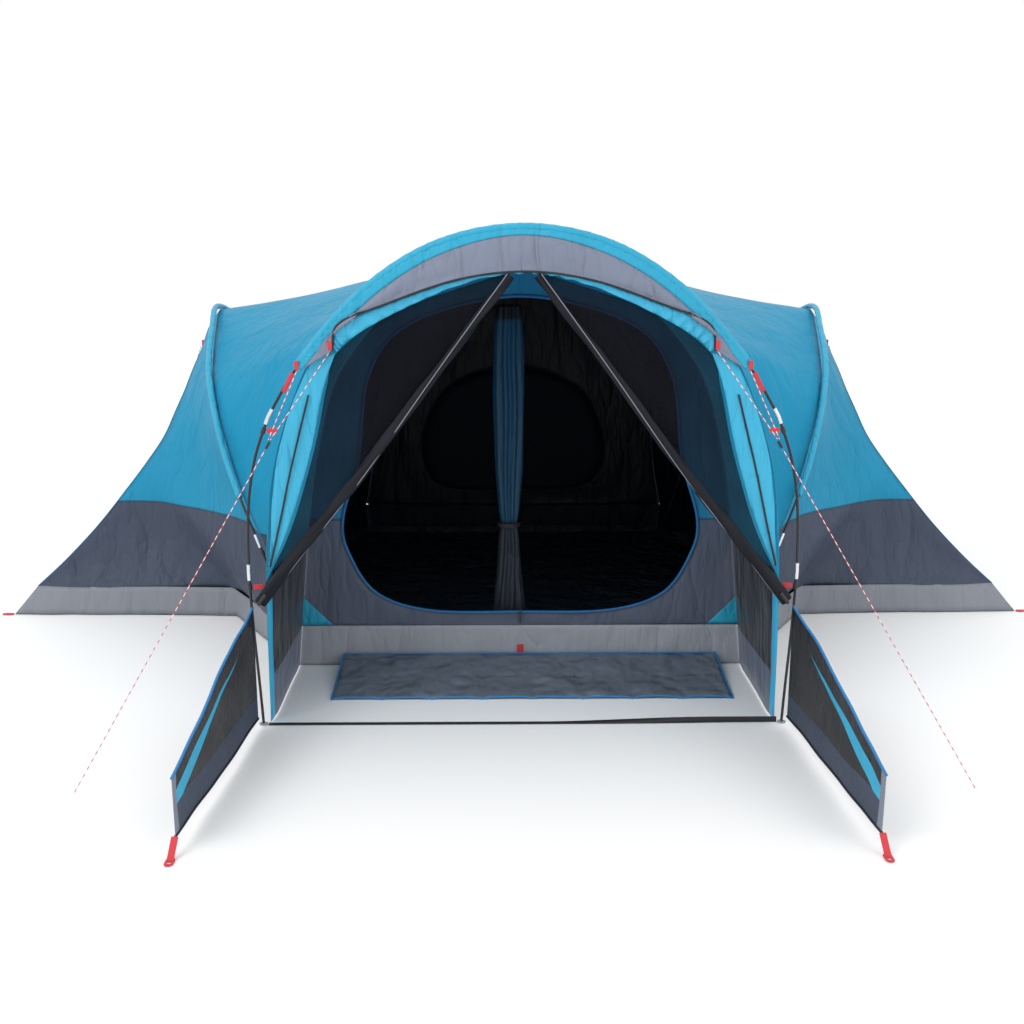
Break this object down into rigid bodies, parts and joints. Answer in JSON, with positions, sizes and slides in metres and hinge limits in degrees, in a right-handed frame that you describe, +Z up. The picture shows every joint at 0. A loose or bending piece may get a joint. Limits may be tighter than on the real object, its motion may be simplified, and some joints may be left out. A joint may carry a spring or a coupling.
{
  "type": "family porch tent",
  "caption": "Pole-supported family tent with an arched front porch, mesh doors staked open, two side sleeping wings and a divided inner room.",
  "frame": {"origin": "centre of the footprint, on the ground", "axes": "+Z up, +X to the right seen from in front of the porch, the porch faces -Y"},
  "size_m": [5.484, 4.568, 1.954],
  "materials": {
    "black_mesh": "fine mesh",
    "black_plastic": "matte",
    "black_webbing": "woven",
    "blue_cloth": "coated taffeta",
    "curtain_cloth": "light polyester",
    "dark_grey_cloth": "coated taffeta",
    "elastic_cord": "matte",
    "ferrule_metal": "satin",
    "flap_cloth": "mesh and coated taffeta",
    "groundsheet_pe": "woven tarpaulin",
    "guy_cord": "woven",
    "mat_pe": "woven tarpaulin",
    "pole_fibreglass": "gloss",
    "red_webbing": "woven",
    "skirt_grey_cloth": "coated taffeta",
    "steel_pin": "satin",
    "visor_grey_cloth": "coated taffeta",
    "zip_metal": "satin",
    "zip_tape": "woven"
  },
  "bodies": {
    "shell": {"corner_peg_loops": "red_webbing", "curtain_tie": "black_webbing", "divider_curtain": "curtain_cloth", "door_mesh_left": "black_mesh", "door_mesh_right": "black_mesh", "door_roll_left": "black_mesh", "door_roll_right": "black_mesh", "door_surround_left": "blue_cloth", "door_surround_right": "blue_cloth", "front_arch_pole": "pole_fibreglass", "front_pole_sleeve": "blue_cloth", "ground_strap": "black_webbing", "groundsheet": "groundsheet_pe", "guy_tabs": "red_webbing", "guyline_front_left": "guy_cord", "guyline_front_right": "guy_cord", "guyline_wing_left": "guy_cord", "guyline_wing_right": "guy_cord", "inner_door_zip": "zip_tape", "inner_wall": "dark_grey_cloth", "main_roof": "blue_cloth", "pole_clips": "black_plastic", "pole_ferrules": "ferrule_metal", "pole_foot_rings": "steel_pin", "pole_tips": "steel_pin", "porch_roof": "blue_cloth", "porch_wall_left": "blue_cloth", "porch_wall_right": "blue_cloth", "rear_arch_pole": "pole_fibreglass", "rear_pole_sleeve": "blue_cloth", "rear_wall": "blue_cloth", "rear_window_mesh": "black_mesh", "red_webbing_tabs": "red_webbing", "roll_toggles": "black_plastic", "shock_cords": "elastic_cord", "visor": "visor_grey_cloth", "visor_band": "blue_cloth", "wall_skirts": "skirt_grey_cloth", "wing_end_left": "blue_cloth", "wing_end_right": "blue_cloth", "wing_front_left": "blue_cloth", "wing_front_right": "blue_cloth", "wing_pole_left": "pole_fibreglass", "wing_pole_right": "pole_fibreglass", "wing_pole_sleeve_left": "blue_cloth", "wing_pole_sleeve_right": "blue_cloth", "wing_rear_left": "blue_cloth", "wing_rear_right": "blue_cloth", "wing_roof_left": "blue_cloth", "wing_roof_right": "blue_cloth", "wing_skirt_left": "skirt_grey_cloth", "wing_skirt_right": "skirt_grey_cloth"},
    "flap_left": {"door_flap_left": "flap_cloth", "flap_peg_loop_left": "red_webbing"},
    "flap_right": {"door_flap_right": "flap_cloth", "flap_peg_loop_right": "red_webbing"},
    "tensioner_left": {"guy_tensioner_left": "black_plastic"},
    "tensioner_right": {"guy_tensioner_right": "black_plastic"},
    "mat": {"porch_mat": "mat_pe"},
    "slider": {"zip_slider": "zip_metal"}
  },
  "joints": [
    {"name": "flap_left_swing", "type": "hinge", "parent": "shell", "child": "flap_left", "pos_m": [-1.058, -1.227, 0.27], "axis": [0, 0, 1], "range_deg": [-6, 74]},
    {"name": "tensioner_left_slide", "type": "slide", "parent": "shell", "child": "tensioner_left", "axis": [-0.452, -0.3378, -0.8256], "range_m": [0, 0.35]},
    {"name": "flap_right_swing", "type": "hinge", "parent": "shell", "child": "flap_right", "pos_m": [1.058, -1.227, 0.27], "axis": [0, 0, -1], "range_deg": [-6, 74]},
    {"name": "tensioner_right_slide", "type": "slide", "parent": "shell", "child": "tensioner_right", "axis": [0.452, -0.3378, -0.8256], "range_m": [0, 0.35]},
    {"name": "mat_lift", "type": "hinge", "parent": "shell", "child": "mat", "pos_m": [0, -0.529, 0.062], "axis": [-1, 0, 0], "range_deg": [0, 76]},
    {"name": "zip_slide", "type": "slide", "parent": "shell", "child": "slider", "axis": [1, 0, 0], "range_m": [-0.3, 0.3]}
  ]
}
